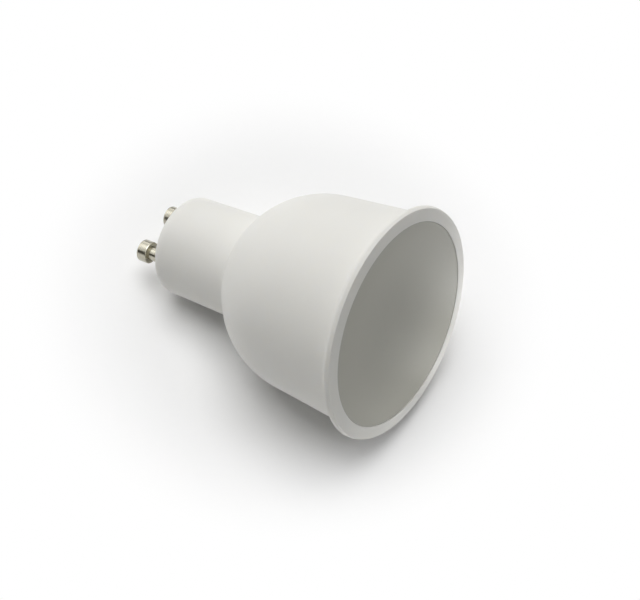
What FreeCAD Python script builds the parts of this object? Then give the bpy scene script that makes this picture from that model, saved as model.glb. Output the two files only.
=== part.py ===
import FreeCAD, Part
import math
import os
import re

import Sketcher

# Spotlight bulb with a two-pin twist-lock base and a mains driver inside.
# The lamp's axis lies along Y. The base plane, where the pins come out, is at Y = 0,
# the pins point to +Y and the light leaves towards -Y. Distances in front of the base
# plane are called stations and are positive towards the light, so Y = -station.

SIZES = (
    ("rim_dia", 49.4, "front lip, outside"),
    ("body_len", 55.4, "base plane to the outer front edge of the lip"),
    ("ring_rise", 0.3, "inner edge of the front ring in front of its outer edge"),
    ("ring_width", 2.9, "front ring, seen from the front"),
    ("ring_round", 0.1, "rounding of the front ring's inner edge"),
    ("lip_thick", 1.2, "lip, back to front"),
    ("lip_band", 0.5, "cylindrical part of the lip"),
    ("lip_bevel", 0.2, "bevel in front of the band, inwards"),
    ("lip_round", 0.12, "rounding between the bevel and the front ring"),
    ("lip_overhang", 2.0, "lip beyond the bell"),
    ("bell_taper", 1.75, "loss of radius from the lip to the shoulder"),
    ("shoulder_at", 34.9, "station where the bell starts to curve in"),
    ("neck_len", 19.3, "base plane to the crease between neck and bell"),
    ("neck_top_dia", 22.1, "neck at the crease"),
    ("neck_draft", 0.9, "loss of the neck's diameter from the crease to the base"),
    ("base_round", 2.8, "rounding of the neck's end"),
    ("crease_round", 0.9, "fillet between neck and bell"),
    ("bell_wall", 1.6, "housing wall in front of the shoulder"),
    ("cavity_arc", 20.0, "inside radius of the bell behind the shoulder"),
    ("cavity_back", 1.4, "crease to the start of the inner curve"),
    ("neck_wall", 1.2, "wall of the neck at the base"),
    ("end_wall", 3.0, "wall that holds the pins"),
    ("diffuser_ledge", 2.0, "front edge of the lip to the diffuser's ledge"),
    ("sink_ledge", 1.3, "ledge that carries the heat sink"),
    ("pin_spacing", 10.0, "between the two contact pins"),
    ("pin_head_dia", 4.7, "contact pin head"),
    ("pin_head_len", 2.5, "contact pin head"),
    ("pin_head_round", 0.45, "rounding of the head's end"),
    ("pin_head_back", 0.25, "rounding of the head's side towards the base"),
    ("pin_shank_dia", 3.0, "contact pin shank"),
    ("pin_len", 6.7, "base plane to the pin's end"),
    ("pin_collar_dia", 4.2, "collar that seats in the base"),
    ("pin_collar_len", 0.8, "collar that seats in the base"),
    ("pin_seat_gap", 0.4, "radial gap of the collar in its seat"),
    ("pin_tail_dia", 4.2, "riveted tail behind the end wall"),
    ("pin_tail_len", 0.8, "riveted tail behind the end wall"),
    ("press_gap", 0.05, "radial gap of pressed and screwed fits"),
    ("slip_gap", 0.2, "radial gap of parts that slip together"),
    ("diffuser_thick", 2.2, "diffuser disc"),
    ("diffuser_edge", 0.06, "chamfer round the diffuser"),
    ("diffuser_skirt_len", 3.0, "skirt behind the disc"),
    ("diffuser_skirt_wall", 1.2, "skirt behind the disc"),
    ("sink_sheet", 1.2, "heat sink sheet"),
    ("sink_depth", 9.2, "heat sink, front face to ledge"),
    ("sink_hole_dia", 6.0, "lead hole in the heat sink"),
    ("led_board_margin", 1.6, "heat sink beyond the led board's edge"),
    ("led_board_thick", 1.2, "board that carries the light sources"),
    ("led_inset", 9.0, "led board's edge to the circle of light sources"),
    ("led_long", 3.5, "one light source"),
    ("led_wide", 2.8, "one light source"),
    ("led_tall", 0.7, "one light source"),
    ("screw_inset", 4.5, "led board's edge to a board screw"),
    ("screw_dia", 2.4, "screw shank"),
    ("screw_len", 4.6, "screw shank"),
    ("screw_head_dia", 4.5, "screw head"),
    ("screw_head_tall", 1.5, "screw head"),
    ("lead_dia", 0.9, "copper leads"),
    ("lead_gap", 0.3, "radial gap of a lead in its hole"),
    ("input_lead_len", 7.0, "lead behind a contact pin"),
    ("output_lead_spacing", 3.0, "between the two leads to the light sources"),
    ("output_lead_lap", 2.6, "output lead lying on the driver board"),
    ("output_lead_tip", 0.6, "output lead in front of the led board"),
    ("driver_thick", 1.2, "driver board"),
    ("driver_start", 6.5, "station of the driver board's back edge"),
    ("driver_step", 24.5, "station where the driver board widens"),
    ("driver_end", 32.5, "station of the driver board's front edge"),
    ("driver_side_gap", 0.6, "driver board's edge to the neck's inside"),
    ("driver_wide", 24.0, "driver board in the bell"),
    ("rail_end", 19.0, "station of the front end of the guide rails"),
    ("rail_tall", 3.6, "guide rail across the board"),
    ("rail_reach", 1.6, "guide rail inwards from the bore"),
    ("rail_root", 0.4, "guide rail sunk into the wall"),
    ("input_cap_dia", 8.0, "input capacitor can"),
    ("input_cap_len", 11.5, "input capacitor can"),
    ("input_cap_at", 11.2, "station of the input capacitor's back end"),
    ("output_cap_dia", 5.0, "output capacitor can"),
    ("output_cap_len", 8.0, "output capacitor can"),
    ("can_groove", 0.3, "depth of the crimp round a capacitor can"),
    ("can_crimp_share", 0.2, "place of the crimp, as a share of the can's diameter"),
    ("film_cap_long", 6.5, "film capacitor along the lamp"),
    ("film_cap_wide", 4.0, "film capacitor across the lamp"),
    ("film_cap_tall", 7.0, "film capacitor above the board"),
    ("film_cap_round", 1.2, "rounding of the film capacitor"),
    ("choke_share", 0.35, "choke flanges, as a share of the driver board's width"),
    ("choke_core_dia", 4.0, "choke core"),
    ("choke_tall", 8.0, "choke above the board"),
    ("choke_flange", 1.2, "choke flange"),
    ("choke_winding_inset", 0.5, "choke flanges beyond the winding"),
    ("choke_edge_gap", 0.4, "choke to the driver board's side"),
    ("side_part_at", 28.4, "station of the choke and the film capacitor"),
    ("fuse_dia", 2.6, "fusible resistor"),
    ("fuse_len", 6.0, "fusible resistor"),
    ("fuse_side_gap", 0.4, "fusible resistor to a guide rail"),
    ("fuse_at", 13.5, "station of the fusible resistor's back end"),
    ("wire_dia", 0.6, "component wires"),
    ("wire_reach", 1.2, "component wire beyond the part's end"),
    ("bridge_long", 4.7, "bridge rectifier along the lamp"),
    ("bridge_wide", 3.9, "bridge rectifier across the lamp"),
    ("bridge_tall", 2.4, "bridge rectifier below the board"),
    ("bridge_at", 10.0, "station of the bridge rectifier's back end"),
    ("chip_long", 4.9, "driver circuit along the lamp"),
    ("chip_wide", 3.9, "driver circuit across the lamp"),
    ("chip_tall", 1.5, "driver circuit below the board"),
    ("chip_at", 25.6, "station of the driver circuit's back end"),
    ("leg_wide", 0.6, "leg of a surface-mounted part"),
    ("leg_reach", 1.0, "leg of a surface-mounted part"),
    ("leg_thick", 0.3, "leg of a surface-mounted part"),
    ("diode_long", 4.3, "output diode along the lamp"),
    ("diode_wide", 2.6, "output diode across the lamp"),
    ("diode_tall", 2.2, "output diode below the board"),
    ("diode_offset", 7.0, "output diode from the middle"),
    ("small_long", 2.0, "chip resistor or capacitor"),
    ("small_wide", 1.25, "chip resistor or capacitor"),
    ("small_tall", 0.6, "chip resistor or capacitor"),
    ("small_pitch", 2.6, "between neighbouring chip parts"),
    ("small_offset", 5.4, "row of chip parts from the middle"),
    ("small_row_at", 9.5, "station of the first chip part"),
)
LED_COUNT = 10
LEGS_PER_SIDE = {"bridge_rectifier": 2, "driver_circuit": 4}
CHIP_RESISTORS = 4
CHIP_CAPACITORS = 3
SIDES = {"left": -1, "right": 1}
FUNCTIONS = ("sin", "cos")
CLOSE = 1e-4

doc = FreeCAD.newDocument("spotlight_bulb")
sheet = doc.addObject("Spreadsheet::Sheet", "sizes")
for row, (alias, value, meaning) in enumerate(SIZES, start=1):
    sheet.set(f"A{row}", meaning)
    sheet.set(f"B{row}", str(value))
    sheet.setAlias(f"B{row}", alias)
doc.recompute()

pieces = []


def formula(text):
    """Write a sum of size names as an expression on the sheet."""
    def cell(match):
        word = match.group(0)
        return word if word in FUNCTIONS else f"sizes.{word}"
    return re.sub(r"[a-z]+(?:_[a-z]+)*", cell, text)


def number(text):
    return float(sheet.evalExpression(formula(text)))


def bind(item, **formulas):
    """Tie properties of an object to the sheet, with __ standing for a dot."""
    for name, text in formulas.items():
        item.setExpression(name.replace("__", "."), formula(text))


def place(item, x="0", y="0", z="0"):
    bind(item, Placement__Base__x=x, Placement__Base__y=y, Placement__Base__z=z)


def keep(item, label):
    """Name a finished sub-part, which gets a file of its own."""
    item.Label = label
    pieces.append(item)
    return item


def new_body(label):
    return keep(doc.addObject("PartDesign::Body", label + "_body"), label)


def new_sketch(body, name, role="XY_Plane", offset="0"):
    """A sketch on one of the body's own planes, moved along that plane's normal."""
    sketch = body.newObject("Sketcher::SketchObject", name)
    plane = next(item for item in body.Origin.OriginFeatures if item.Role == role)
    sketch.AttachmentSupport = [(plane, "")]
    sketch.MapMode = "FlatFace"
    bind(sketch, AttachmentOffset__Base__z=offset)
    return sketch


def hold(sketch, kind, value, *where):
    """Add a dimension to a sketch and tie it to the sheet."""
    index = sketch.addConstraint(Sketcher.Constraint(kind, *where, number(value)))
    sketch.renameConstraint(index, f"size_{index}")
    sketch.setExpression(f"Constraints.size_{index}", formula(value))


def locate(sketch, edge, end, x, y):
    """Fix one end of an edge at the formulas x and y, or on an axis where one is 0."""
    x_axis, y_axis, origin = -1, -2, (-1, 1)
    for kind, value, axis in (("DistanceX", x, y_axis), ("DistanceY", y, x_axis)):
        if value == "0":
            sketch.addConstraint(Sketcher.Constraint("PointOnObject", edge, end, axis))
        else:
            hold(sketch, kind, value, *origin, edge, end)


def arc_through(start, end, radius, turn):
    """The short arc from start to end; turn is 1 for anticlockwise and -1 for clockwise."""
    chord = end - start
    rise = math.sqrt(max(radius ** 2 - (chord.Length / 2) ** 2, 0.0))
    middle = (start + end) * 0.5
    across = FreeCAD.Vector(-chord.y, chord.x, 0).normalize()
    centre = middle + across * rise * turn
    first, last = (start, end) if turn > 0 else (end, start)
    angles = [math.atan2(p.y - centre.y, p.x - centre.x) for p in (first, last)]
    circle = Part.Circle(centre, FreeCAD.Vector(0, 0, 1), radius)
    return Part.ArcOfCircle(circle, angles[0], angles[1])


def tangent_radius(start, end, after):
    """Radius of the arc that ends in line with the straight edge from end to after."""
    chord = end - start
    along = (after - end).normalize()
    sine = abs(chord.cross(along).z) / chord.Length
    return chord.Length / (2 * sine)


def trace(sketch, corners):
    """Draw a closed outline. A corner is (x, y) after a straight edge, (x, y, turn, radius)
    after an arc of that radius, or (x, y, turn, None) after an arc that runs smoothly
    into the next straight edge."""
    points = [FreeCAD.Vector(number(c[0]), number(c[1]), 0) for c in corners]
    count = len(corners)
    forwards, backwards = (1, 2), (2, 1)
    edges = []
    for k in range(count):
        target = (k + 1) % count
        start, end, corner = points[k], points[target], corners[target]
        if len(corner) == 2:
            edge = sketch.addGeometry(Part.LineSegment(start, end), False)
            edges.append((edge, *forwards))
            continue
        turn, radius = corner[2], corner[3]
        after = points[(target + 1) % count]
        size = tangent_radius(start, end, after) if radius is None else number(radius)
        edge = sketch.addGeometry(arc_through(start, end, size, turn), False)
        edges.append((edge, *(forwards if turn > 0 else backwards)))
    for k in range(count):
        edge, _, last = edges[k]
        following, first, _ = edges[(k + 1) % count]
        corner = corners[(k + 1) % count]
        smooth = len(corner) == 4 and corner[3] is None
        joint = "Tangent" if smooth else "Coincident"
        sketch.addConstraint(Sketcher.Constraint(joint, edge, last, following, first))
    for k in range(count):
        edge, first, _ = edges[k]
        locate(sketch, edge, first, corners[k][0], corners[k][1])
        target = corners[(k + 1) % count]
        if len(target) == 4 and target[3] is not None:
            hold(sketch, "Radius", target[3], edge)


def rectangle(sketch, left, right, low, high):
    trace(sketch, [(left, low), (right, low), (right, high), (left, high)])


def ring(sketch, radius, x="0", y="0"):
    """A full circle of the given radius about the point x, y."""
    centre = FreeCAD.Vector(number(x), number(y), 0)
    circle = Part.Circle(centre, FreeCAD.Vector(0, 0, 1), number(radius))
    edge = sketch.addGeometry(circle, False)
    centre_point = 3
    locate(sketch, edge, centre_point, x, y)
    hold(sketch, "Radius", radius, edge)


def revolve(body, name, corners):
    """Turn a half section, x outwards and y along the lamp, about the lamp's axis."""
    sketch = new_sketch(body, name + "_section")
    trace(sketch, corners)
    feature = body.newObject("PartDesign::Revolution", name)
    feature.Profile = sketch
    feature.ReferenceAxis = (sketch, ["V_Axis"])
    feature.Angle = 360
    return feature


def pad(body, name, sketch, length):
    feature = body.newObject("PartDesign::Pad", name)
    feature.Profile = sketch
    bind(feature, Length=length)
    return feature


def pocket(body, name, sketch, length, forward):
    """Cut along the lamp from a cross section, forward towards the light or back."""
    feature = body.newObject("PartDesign::Pocket", name)
    feature.Profile = sketch
    feature.Reversed = forward
    bind(feature, Length=length)
    return feature


def box(name, x, y, z, length, width, height):
    """A block whose lowest corner is at x, y, z."""
    block = doc.addObject("Part::Box", name)
    bind(block, Length=length, Width=width, Height=height)
    place(block, x, y, z)
    return block


def rod(name, radius, length, x, y, z, upright=False):
    """A round bar from x, y, z along the lamp towards the light, or straight up."""
    bar = doc.addObject("Part::Cylinder", name)
    bind(bar, Radius=radius, Height=length)
    if not upright:
        bar.Placement.Rotation = FreeCAD.Rotation(FreeCAD.Vector(1, 0, 0), 90)
    place(bar, x, y, z)
    return bar


def joined(name, items):
    union = doc.addObject("Part::MultiFuse", name)
    union.Shapes = items
    return union


def grouped(name, items):
    group = doc.addObject("Part::Compound", name)
    group.Links = items
    return group


def mirrored_x(side, text):
    return f"({text})" if side > 0 else f"-({text})"


# Shared places, as sums of the sizes
RIM = "rim_dia/2"
MOUTH = "rim_dia/2 - ring_width"
BELL_FRONT = "rim_dia/2 - lip_overhang"
LIP_BACK = "body_len - lip_thick"
FLARE_START = "body_len - lip_thick - lip_overhang"
THROAT = "rim_dia/2 - lip_overhang - bell_wall"
SHOULDER = "rim_dia/2 - lip_overhang - bell_taper"
INNER_SHOULDER = "rim_dia/2 - lip_overhang - bell_taper - bell_wall"
LEDGE = "body_len - diffuser_ledge"
SEAT = "shoulder_at + sink_depth"
LED_FRONT = "shoulder_at + sink_depth + led_board_thick"
BOARD_TOP = "-lead_dia/2"
BOARD_BELOW = "-lead_dia/2 - driver_thick"
NECK_END = "neck_top_dia/2 - neck_draft/2"
BORE = "neck_top_dia/2 - neck_draft/2 - neck_wall"
DRIVER_NARROW = "neck_top_dia/2 - neck_draft/2 - neck_wall - driver_side_gap"
CHOKE = "driver_wide*choke_share/2"
SIDE_OFFSET = "(driver_wide/2 - choke_edge_gap - driver_wide*choke_share/2)"


def inner_cone(station):
    """Radius inside the bell at a station in front of the shoulder."""
    run = f"({FLARE_START} - shoulder_at)"
    return f"{INNER_SHOULDER} + bell_taper*({station} - shoulder_at)/{run}"


SINK_FRONT = f"{inner_cone(SEAT)} - slip_gap"
LED_BOARD = f"{SINK_FRONT} - led_board_margin"


def make_housing():
    """One moulding: base, neck, bell and lip, with ledges and guide rails inside."""
    body = new_body("housing")
    revolve(body, "shell", [
        ("0", "0"),
        (f"{NECK_END} - base_round", "0"),
        (NECK_END, "-base_round", -1, "base_round"),
        ("neck_top_dia/2", "-neck_len"),
        (SHOULDER, "-shoulder_at", -1, None),
        (BELL_FRONT, f"-({FLARE_START})"),
        (RIM, f"-({LIP_BACK})", 1, "lip_overhang"),
        (RIM, f"-({LIP_BACK} + lip_band)"),
        (f"{RIM} - lip_bevel", "-(body_len - lip_round)"),
        (f"{RIM} - lip_bevel - lip_round", "-body_len", -1, "lip_round"),
        (f"{MOUTH} + ring_round", "-(body_len + ring_rise)"),
        (MOUTH, "-(body_len + ring_rise - ring_round)", -1, "ring_round"),
        (MOUTH, f"-({LEDGE})"),
        (THROAT, f"-({LEDGE})"),
        (THROAT, f"-({FLARE_START})"),
        (INNER_SHOULDER, "-shoulder_at"),
        (f"{INNER_SHOULDER} - sink_ledge", "-shoulder_at"),
        (BORE, "-(neck_len + cavity_back)", 1, "cavity_arc"),
        (BORE, "-end_wall"),
        ("0", "-end_wall"),
    ])

    # Rails on both sides of the bore, with a slot that takes the driver board's edge
    rail_start = "end_wall + pin_tail_len + slip_gap"
    rails = new_sketch(body, "rail_section", "XZ_Plane", rail_start)
    middle = f"{BOARD_TOP} - driver_thick/2"
    for side in SIDES.values():
        inner = mirrored_x(side, f"{BORE} - rail_reach")
        outer = mirrored_x(side, f"{BORE} + rail_root")
        rectangle(rails, inner, outer, f"{middle} - rail_tall/2", f"{middle} + rail_tall/2")
    pad(body, "rails", rails, f"rail_end - ({rail_start})")
    slots = new_sketch(body, "slot_section", "XZ_Plane", "rail_end")
    for side in SIDES.values():
        inner = mirrored_x(side, f"{BORE} - rail_reach - slip_gap")
        outer = mirrored_x(side, f"{DRIVER_NARROW} + slip_gap")
        low = f"{BOARD_BELOW} - slip_gap"
        rectangle(slots, inner, outer, low, f"{BOARD_TOP} + slip_gap")
    pocket(body, "slots", slots, "rail_end - driver_start", forward=False)

    # Stepped holes for the contact pins
    steps = {
        "pin_holes": ("pin_shank_dia/2 + press_gap", "end_wall"),
        "pin_seats": ("pin_collar_dia/2 + pin_seat_gap", "pin_collar_len"),
    }
    for name, (radius, depth) in steps.items():
        section = new_sketch(body, name + "_section", "XZ_Plane")
        for side in SIDES.values():
            ring(section, radius, mirrored_x(side, "pin_spacing/2"))
        pocket(body, name, section, depth, forward=True)
    doc.recompute()

    # The crease between neck and bell
    round_off(body, "crease", [edge_at(body.Tip.Shape, "neck_top_dia/2", "-neck_len")],
              "crease_round")


def round_off(body, name, edges, radius):
    """Fillet named edges of a body's last feature."""
    base = body.Tip
    fillet = body.newObject("PartDesign::Fillet", name)
    fillet.Base = (base, edges)
    bind(fillet, Radius=radius)
    body.Tip = fillet


def edge_at(shape, radius, y):
    """Name of the round edge about the lamp's axis with this radius at this height."""
    for index, edge in enumerate(shape.Edges, start=1):
        curve = edge.Curve
        if not isinstance(curve, Part.Circle):
            continue
        wrong = abs(curve.Radius - number(radius)) + abs(curve.Center.y - number(y))
        if wrong < CLOSE:
            return f"Edge{index}"
    raise ValueError("no such round edge")


def make_pins():
    """Two headed pins, pressed into the base and riveted over inside."""
    head = "pin_head_dia/2"
    shank = "pin_shank_dia/2"
    collar = "pin_collar_dia/2"
    tail = "pin_tail_dia/2"
    for word, side in SIDES.items():
        body = new_body(f"contact_pin_{word}")
        revolve(body, f"pin_{word}", [
            ("0", "pin_len"),
            ("0", "-end_wall - pin_tail_len"),
            (tail, "-end_wall - pin_tail_len"),
            (tail, "-end_wall"),
            (shank, "-end_wall"),
            (shank, "-pin_collar_len"),
            (collar, "-pin_collar_len"),
            (collar, "0"),
            (shank, "0"),
            (shank, "pin_len - pin_head_len"),
            (f"{head} - pin_head_back", "pin_len - pin_head_len"),
            (head, "pin_len - pin_head_len + pin_head_back", 1, "pin_head_back"),
            (head, "pin_len - pin_head_round"),
            (f"{head} - pin_head_round", "pin_len", 1, "pin_head_round"),
        ])
        place(body, mirrored_x(side, "pin_spacing/2"))


def make_diffuser():
    """Opal disc that seats on the housing's ledge, with a skirt inside the bell."""
    body = new_body("diffuser")
    disc = f"{MOUTH} - press_gap"
    skirt = f"{THROAT} - slip_gap"
    front = f"-({LEDGE} + diffuser_thick)"
    skirt_end = f"-({LEDGE} - diffuser_skirt_len)"
    revolve(body, "disc", [
        ("0", f"-({LEDGE})"),
        ("0", front),
        (f"{disc} - diffuser_edge", front),
        (disc, f"-({LEDGE} + diffuser_thick - diffuser_edge)"),
        (disc, f"-({LEDGE})"),
        (skirt, f"-({LEDGE})"),
        (skirt, skirt_end),
        (f"{skirt} - diffuser_skirt_wall", skirt_end),
        (f"{skirt} - diffuser_skirt_wall", f"-({LEDGE})"),
    ])


def make_heat_sink():
    """Pressed aluminium cup: its face carries the led board, its skirt meets the bell."""
    body = new_body("heat_sink")
    back = f"{INNER_SHOULDER} - slip_gap"
    revolve(body, "cup", [
        ("sink_hole_dia/2", f"-({SEAT} - sink_sheet)"),
        ("sink_hole_dia/2", f"-({SEAT})"),
        (SINK_FRONT, f"-({SEAT})"),
        (back, "-shoulder_at"),
        (f"{back} - sink_sheet", "-shoulder_at"),
        (f"{SINK_FRONT} - sink_sheet", f"-({SEAT} - sink_sheet)"),
    ])
    holes = new_sketch(body, "sink_screw_holes_section", "XZ_Plane", SEAT)
    for side in SIDES.values():
        ring(holes, "screw_dia/2 + press_gap", mirrored_x(side, f"{LED_BOARD} - screw_inset"))
    pocket(body, "sink_screw_holes", holes, "sink_sheet", forward=False)


def make_led_board():
    """Round aluminium board with holes for its screws and for the two leads."""
    body = new_body("led_board")
    outline = new_sketch(body, "led_board_outline", "XZ_Plane", SEAT)
    ring(outline, LED_BOARD)
    for side in SIDES.values():
        ring(outline, "screw_dia/2 + slip_gap", mirrored_x(side, f"{LED_BOARD} - screw_inset"))
        ring(outline, "lead_dia/2 + lead_gap", mirrored_x(side, "output_lead_spacing/2"))
    pad(body, "led_board_plate", outline, "led_board_thick")


def make_light_sources():
    """Identical surface-mounted light sources in a ring on the led board."""
    sources = []
    for k in range(LED_COUNT):
        angle = (2 * k + 1) * 180 / LED_COUNT
        source = doc.addObject("Part::Box", f"light_source_{k}")
        bind(source, Length="led_long", Width="led_tall", Height="led_wide")
        spin = FreeCAD.Rotation(FreeCAD.Vector(0, 1, 0), angle)
        source.Placement.Rotation = spin
        out = f"({LED_BOARD} - led_inset - led_long/2)"
        aside = "(led_wide/2)"
        x = f"{out}*cos({angle}) - {aside}*sin({angle})"
        z = f"-{aside}*cos({angle}) - {out}*sin({angle})"
        place(source, x, f"-({LED_FRONT} + led_tall)", z)
        sources.append(source)
    keep(grouped("light_source_group", sources), "light_sources")


def make_screws():
    """Two pan-head screws that hold the led board to the heat sink."""
    screws = []
    for word, side in SIDES.items():
        x = mirrored_x(side, f"{LED_BOARD} - screw_inset")
        under_head = f"-({LED_FRONT})"
        shank = rod(f"screw_shank_{word}", "screw_dia/2", "screw_len", x,
                    f"-({LED_FRONT} - screw_len)", "0")
        head = rod(f"screw_head_{word}", "screw_head_dia/2", "screw_head_tall", x, under_head, "0")
        screws.append(joined(f"screw_{word}", [shank, head]))
    keep(grouped("screw_group", screws), "board_screws")


def make_leads():
    """Straight copper leads: pins to driver board, and driver board to led board."""
    for word, side in SIDES.items():
        tail_end = "-(end_wall + pin_tail_len)"
        lead = rod(f"input_lead_rod_{word}", "lead_dia/2", "input_lead_len",
                   mirrored_x(side, "pin_spacing/2"), tail_end, "0")
        keep(lead, f"input_lead_{word}")
        start = "driver_end - output_lead_lap"
        length = f"{LED_FRONT} + output_lead_tip - ({start})"
        lead = rod(f"output_lead_rod_{word}", "lead_dia/2", length,
                   mirrored_x(side, "output_lead_spacing/2"), f"-({start})", "0")
        keep(lead, f"output_lead_{word}")


def make_driver_board():
    """Board along the lamp's axis, narrow in the neck and wide in the bell."""
    body = new_body("driver_board")
    outline = new_sketch(body, "driver_outline", "XY_Plane", BOARD_BELOW)
    wide = "driver_wide/2"
    trace(outline, [
        (f"-({DRIVER_NARROW})", "-driver_start"),
        (f"-({DRIVER_NARROW})", "-driver_step"),
        (f"-{wide}", "-driver_step"),
        (f"-{wide}", "-driver_end"),
        (wide, "-driver_end"),
        (wide, "-driver_step"),
        (DRIVER_NARROW, "-driver_step"),
        (DRIVER_NARROW, "-driver_start"),
    ])
    pad(body, "driver_plate", outline, "driver_thick")


def make_can(label, dia, length, place_by):
    """Electrolytic capacitor: a can with a crimp near its sealed end."""
    body = new_body(label)
    radius = f"{dia}/2"
    crimp = f"{dia}*can_crimp_share"
    revolve(body, label + "_can", [
        ("0", "0"),
        (radius, "0"),
        (radius, f"-({crimp} - can_groove)"),
        (f"{radius} - can_groove", f"-({crimp})"),
        (radius, f"-({crimp} + can_groove)"),
        (radius, f"-({length})"),
        ("0", f"-({length})"),
    ])
    place(body, *place_by)
    return body


def make_capacitors():
    """Two electrolytic cans lying on the board or standing on it, and a film block."""
    make_can("input_capacitor", "input_cap_dia", "input_cap_len",
             ("0", "-input_cap_at", f"{BOARD_TOP} + input_cap_dia/2"))
    standing = make_can("output_capacitor", "output_cap_dia", "output_cap_len",
                        ("0", "-(driver_step + output_cap_dia/2)", BOARD_TOP))
    standing.Placement.Rotation = FreeCAD.Rotation(FreeCAD.Vector(1, 0, 0), -90)
    block = new_body("film_capacitor")
    base = new_sketch(block, "film_base", "XY_Plane", BOARD_TOP)
    rectangle(base, f"{SIDE_OFFSET} - film_cap_wide/2", f"{SIDE_OFFSET} + film_cap_wide/2",
              "-side_part_at - film_cap_long/2", "-side_part_at + film_cap_long/2")
    pad(block, "film_block", base, "film_cap_tall")
    doc.recompute()
    upper = [f"Edge{i}" for i, edge in enumerate(block.Tip.Shape.Edges, start=1)
             if edge.BoundBox.ZMax > number(f"{BOARD_TOP} + film_cap_tall/2")]
    round_off(block, "film_rounding", upper, "film_cap_round")


def make_choke():
    """Ferrite bobbin standing on the board, with its copper winding."""
    core_radius = "choke_core_dia/2"
    below = "choke_flange"
    above = "choke_tall - choke_flange"
    winding_radius = f"{CHOKE} - choke_winding_inset"
    upright = FreeCAD.Rotation(FreeCAD.Vector(1, 0, 0), 90)
    outlines = {
        "choke_core": [
            ("0", "0"), (CHOKE, "0"), (CHOKE, below), (core_radius, below),
            (core_radius, above), (CHOKE, above), (CHOKE, "choke_tall"), ("0", "choke_tall"),
        ],
        "choke_winding": [
            (f"{core_radius} + press_gap", below), (winding_radius, below),
            (winding_radius, above), (f"{core_radius} + press_gap", above),
        ],
    }
    for label, corners in outlines.items():
        body = new_body(label)
        revolve(body, label + "_turned", corners)
        body.Placement.Rotation = upright
        place(body, f"-{SIDE_OFFSET}", "-side_part_at", BOARD_TOP)


def make_fuse():
    """Fusible resistor lying on the board, with a bent wire at each end."""
    height = f"{BOARD_TOP} + fuse_dia/2"
    x = f"-({BORE} - rail_reach - fuse_side_gap - fuse_dia/2)"
    barrel = rod("fuse_barrel", "fuse_dia/2", "fuse_len", x, "-fuse_at", height)
    wire = rod("fuse_wire", "wire_dia/2", "fuse_len + 2*wire_reach", x,
               "-(fuse_at - wire_reach)", height)
    parts = [barrel, wire]
    ends = {"back": "-(fuse_at - wire_reach)", "front": "-(fuse_at + fuse_len + wire_reach)"}
    for word, y in ends.items():
        parts.append(rod(f"fuse_foot_{word}", "wire_dia/2", "fuse_dia/2 + wire_dia/2", x, y,
                         BOARD_TOP, upright=True))
    keep(joined("fuse_union", parts), "fuse_resistor")


def make_legged(label, at, long, wide, tall):
    """Surface-mounted package under the board with a row of legs on each side."""
    parts = [box(f"{label}_case", f"-({wide})/2", f"-({at}) - ({long})", f"{BOARD_BELOW} - ({tall})",
                 wide, long, f"{tall} - leg_thick/2")]
    count = LEGS_PER_SIDE[label]
    for word, side in SIDES.items():
        for k in range(count):
            y = f"-({at}) - ({long})*{2 * k + 1}/{2 * count} - leg_wide/2"
            x = f"({wide})/2" if side > 0 else f"-({wide})/2 - leg_reach"
            parts.append(box(f"{label}_leg_{word}_{k}", f"{x} - {side}*leg_thick", y,
                             f"{BOARD_BELOW} - leg_thick", "leg_reach", "leg_wide", "leg_thick"))
    keep(joined(label + "_union", parts), label)


def make_diode():
    """Output diode under the board with a tab at each end."""
    x = "-(diode_offset) - diode_wide/2"
    y = "-(side_part_at + diode_long/2)"
    case = box("diode_case", x, y, f"{BOARD_BELOW} - diode_tall", "diode_wide", "diode_long",
               "diode_tall - leg_thick/2")
    tabs = [box(f"diode_tab_{word}", "-(diode_offset) - diode_wide/4", end,
                f"{BOARD_BELOW} - leg_thick", "diode_wide/2", "leg_reach", "leg_thick")
            for word, end in (("front", f"{y} - leg_reach + leg_thick"),
                              ("back", f"{y} + diode_long - leg_thick"))]
    keep(joined("diode_union", [case] + tabs), "output_diode")


def make_chip_parts():
    """Rows of chip resistors and chip capacitors under the board in the neck."""
    rows = {"chip_resistors": (1, CHIP_RESISTORS), "chip_capacitors": (-1, CHIP_CAPACITORS)}
    for label, (side, count) in rows.items():
        chips = []
        for k in range(count):
            x = f"{mirrored_x(side, 'small_offset')} - small_long/2"
            y = f"-(small_row_at + {k}*small_pitch + small_wide)"
            chips.append(box(f"{label}_{k}", x, y, f"{BOARD_BELOW} - small_tall",
                             "small_long", "small_wide", "small_tall"))
        keep(grouped(label + "_group", chips), label)


make_housing()
make_pins()
make_diffuser()
make_heat_sink()
make_led_board()
make_light_sources()
make_screws()
make_leads()
make_driver_board()
make_capacitors()
make_choke()
make_fuse()
make_legged("bridge_rectifier", "bridge_at", "bridge_long", "bridge_wide", "bridge_tall")
make_legged("driver_circuit", "chip_at", "chip_long", "chip_wide", "chip_tall")
make_diode()
make_chip_parts()
doc.recompute()

failed = [item.Label for item in doc.Objects if {"Invalid", "Error"} & set(item.State)]
failed += [item.Label for item in pieces if item.Shape.isNull() or not item.Shape.isValid()]
if failed:
    raise RuntimeError("not built: " + ", ".join(failed))
os.makedirs("parts", exist_ok=True)
for item in pieces:
    item.Shape.exportStep(f"parts/{item.Label}.step")
    print(item.Label, len(item.Shape.Solids), round(item.Shape.Volume, 2))
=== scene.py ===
# %% [markdown]
# A bell-shaped spotlight bulb lies on a white table, resting on the belly of its bell and
# on the end of its base. The exact solids come from the CAD model, so this lesson adds no
# shapes to the bulb: it sets the camera, the table and the light, and gives each piece
# the finish of its real material.

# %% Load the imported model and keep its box
import math

import bpy
from mathutils import Matrix, Vector

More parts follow.
